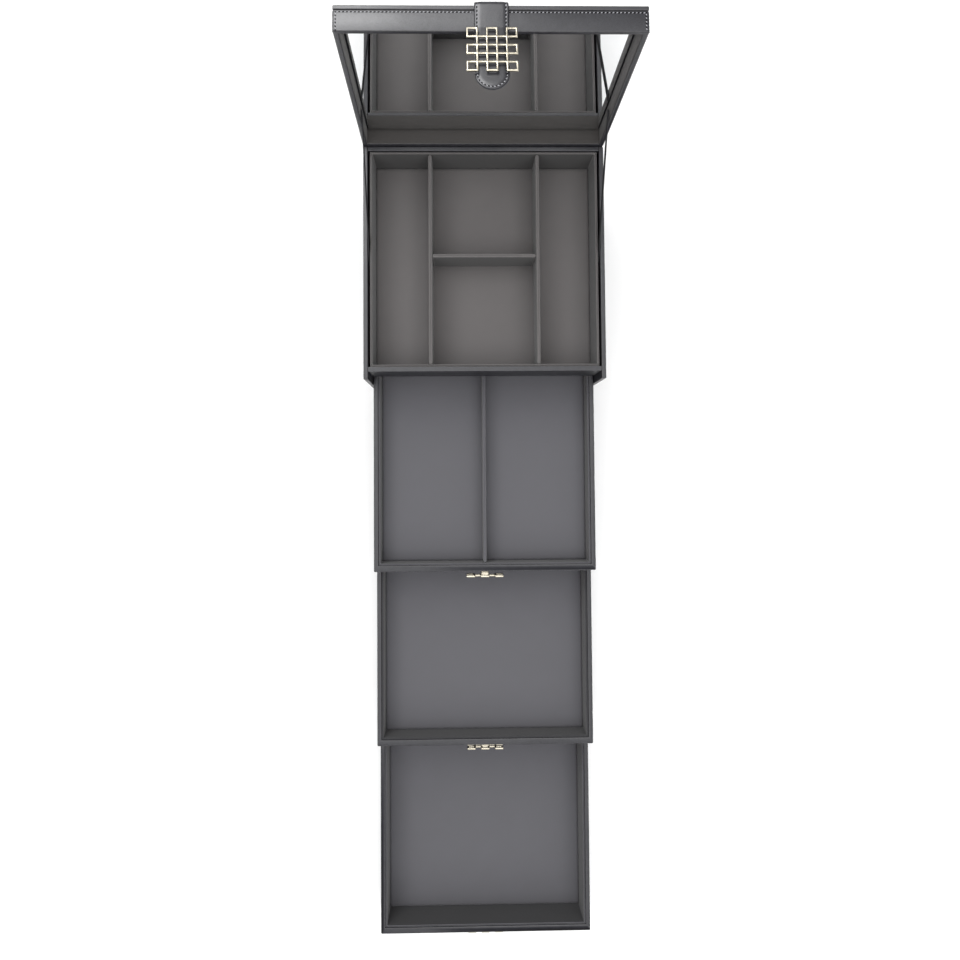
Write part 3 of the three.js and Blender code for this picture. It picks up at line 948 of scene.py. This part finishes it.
bm = bmesh.new()
for node, out in (("left_side_panel", leftward), ("right_side_panel", rightward)):
    low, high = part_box(node)
    x = low.x if out.x < 0 else high.x
    plan = border_places(low.y, high.y, low.z, high.z)
    points = [Vector((x, y + inward * border, z + above * border)) for y, z, inward, above in plan]
    sew_round(bm, points + points[:1], out)
store("side_panel_stitches", bm, [thread, needle_hole_shade], "case")

# %% [markdown]
# ## The cloth hinge
#
# A strip of the same skin is glued down the back of the case and out along the lid's back wall, and the
# lid turns on its fold. A chain of points draws the fold, one extrusion gives it the case's width, and a
# solidify its thickness.

# %% Hinge strip
strip_low, strip_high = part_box("hinge_strip")
strip_low.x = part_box("left_side_panel")[0].x + 0.7 * MM
strip_high.x = -strip_low.x
strip_thick = 0.7 * MM
fold_round = 1.4 * MM
bm = bmesh.new()
line_y = strip_low.y + 0.05 * MM
line_z = strip_high.z - 0.35 * MM
chain = []
for step in range(9):
    z = strip_low.z + (line_z - fold_round - strip_low.z) * step / 8
    chain.append(Vector((strip_low.x, line_y, z)))
for step in range(1, 7):
    turned = math.pi / 2 * step / 6
    y = line_y + fold_round * (1 - math.cos(turned))
    z = line_z - fold_round * (1 - math.sin(turned))
    chain.append(Vector((strip_low.x, y, z)))
end_z = (lid_turn @ Vector((0, back_high.y + 0.3 * MM, back_low.z + 18 * MM))).z
start_out = chain[-1].copy()
for step in range(1, 9):
    share = step / 8
    y = start_out.y + (strip_high.y - start_out.y) * share
    chain.append(Vector((strip_low.x, y, start_out.z + (end_z - start_out.z) * share)))
strip_width = strip_high.x - strip_low.x

# %% Hinge cloth
verts = [bm.verts.new(point) for point in chain]
edges = [bm.edges.new(pair) for pair in zip(verts, verts[1:])]
grown = bmesh.ops.extrude_edge_only(bm, edges=edges)
bmesh.ops.translate(bm, vec=(strip_width, 0, 0), verts=new_verts(grown))
bmesh.ops.recalc_face_normals(bm, faces=bm.faces[:])
if bm.faces[:][0].normal.y > 0:
    bmesh.ops.reverse_faces(bm, faces=bm.faces[:])
bmesh.ops.solidify(bm, geom=bm.faces[:], thickness=strip_thick)
bmesh.ops.recalc_face_normals(bm, faces=bm.faces[:])
round_off(bm, sharper_than(bm, 60), 0.25 * MM, segments=2, clamp=False)
hinge_cloth = store("hinge_cloth", bm, [leather])
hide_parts("hinge_strip")
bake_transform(hinge_cloth)

# %% [markdown]
# ## The ribbon stays
#
# Two grosgrain ribbons stop the lid. Grosgrain has cross ribs, so a ribbon is a thin bar with a row of
# faces for every rib, and every second row stands slightly proud. Each ribbon runs as one straight bar
# from the case at its lower end to the lid at its upper end.

# %% Ribbons
RIB = 0.9 * MM
ribbon_width = 9.0 * MM
ribbon_thick = 0.7 * MM
VALLEY = 0.72


def ribbon(side):
    """One stay, corner to corner in its CAD node's box. Its slope is found by a few rounds of guessing."""
    node = f"lid_ribbon_{side}"
    low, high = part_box(node)
    tilt = Matrix.Rotation(math.atan2(high.z - low.z, high.y - low.y), 4, "X")
    for _ in range(12):
        slope = tilt.to_euler().x
        rise = high.z - low.z - ribbon_width * math.cos(slope)
        run = high.y - low.y - ribbon_width * math.sin(slope)
        tilt = Matrix.Rotation(math.atan2(rise, run), 4, "X")
    length = math.hypot(rise, run)
    ribs = round(length / RIB)
    bm = bmesh.new()
    bmesh.ops.create_cube(bm, size=1.0)
    bmesh.ops.scale(bm, vec=(ribbon_thick, length, ribbon_width), verts=bm.verts[:])
    along = [edge for edge in bm.edges if abs(edge.verts[0].co.y - edge.verts[1].co.y) > length / 2]
    bmesh.ops.subdivide_edges(bm, edges=along, cuts=2 * ribs - 1, use_grid_fill=True)
    half_wide = ribbon_width / 2
    across = [edge for edge in bm.edges if abs(edge.verts[0].co.z - edge.verts[1].co.z) > half_wide]
    bmesh.ops.subdivide_edges(bm, edges=across, cuts=3, use_grid_fill=True)
    for vert in bm.verts:
        row = round((vert.co.y / length + 0.5) * 2 * ribs)
        at_edge = abs(vert.co.z) > ribbon_width * 0.49
        vert.co.x *= 1.0 if row % 2 or at_edge else VALLEY
    middle = (low + high) / 2
    bm.normal_update()
    made = store(node + "_cloth", bm, [grosgrain], turn=Matrix.Translation(middle) @ tilt)
    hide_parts(node)
    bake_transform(made)


ribbon("left")
ribbon("right")

# %% [markdown]
# ## Floor and light
#
# The case stands on a plain pale floor. One large soft light stands behind and to the left, where the
# open lid's lip mirrors it towards the viewer, and gives the leatherette its blue-grey sheen. A wider,
# weaker one hangs overhead, and a pale world fills the shadows.

# %% Stage
bm = bmesh.new()
bmesh.ops.create_grid(bm, x_segments=1, y_segments=1, size=6.0)
bmesh.ops.translate(bm, vec=(0, 0, cad_low.z - 0.2 * MM), verts=bm.verts[:])
floor_mesh = bpy.data.meshes.new("floor")
bm.to_mesh(floor_mesh)
bm.free()
floor = bpy.data.objects.new("floor", floor_mesh)
bpy.context.scene.collection.objects.link(floor)
floor_paint = Recipe("floor_paint")
paint = {"Base Color": (0.93, 0.93, 0.93, 1.0), "Roughness": 0.9}
floor_mesh.materials.append(floor_paint.finish(paint))
floor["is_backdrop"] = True

# %% Lights

def softbox(name, place, target, width, height, power, lights_cloth=True):
    """A rectangular lamp that faces its target. Without lights_cloth it shows only as gloss."""
    lamp = bpy.data.lights.new(name, "AREA")
    lamp.shape = "RECTANGLE"
    lamp.size = width
    lamp.size_y = height
    lamp.energy = power
    holder = bpy.data.objects.new(name, lamp)
    aim = (Vector(target) - Vector(place)).to_track_quat("-Z", "Y")
    holder.matrix_world = Matrix.Translation(place) @ aim.to_matrix().to_4x4()
    holder.visible_diffuse = lights_cloth
    bpy.context.scene.collection.objects.link(holder)


softbox("back_light", (-0.60, 1.0, 1.75), (0, 0.1, 0.3), 1.1, 0.8, 58.0, lights_cloth=False)
softbox("overhead_light", (-0.2, -0.3, 2.3), (0, -0.35, 0), 2.6, 2.8, 72.0)
softbox("front_light", (0.5, -1.9, 1.5), (0, -0.3, 0.1), 1.4, 1.0, 10.0)

world = bpy.data.worlds.new("studio")
world.use_nodes = True
background = world.node_tree.nodes["Background"]
background.inputs["Color"].default_value = (1.0, 1.0, 1.0, 1.0)
background.inputs["Strength"].default_value = 0.6
bpy.context.scene.world = world
bpy.context.scene.view_settings.view_transform = "Standard"
print("three soft lights and a pale world")

# %% [markdown]
# ## Measure and finish
#
# The dressed model's box is printed, beside the CAD model's box printed at the start.

# %% Sizes and finish
low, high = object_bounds()
print("dressed box in mm:", [round(v / MM) for v in high - low])
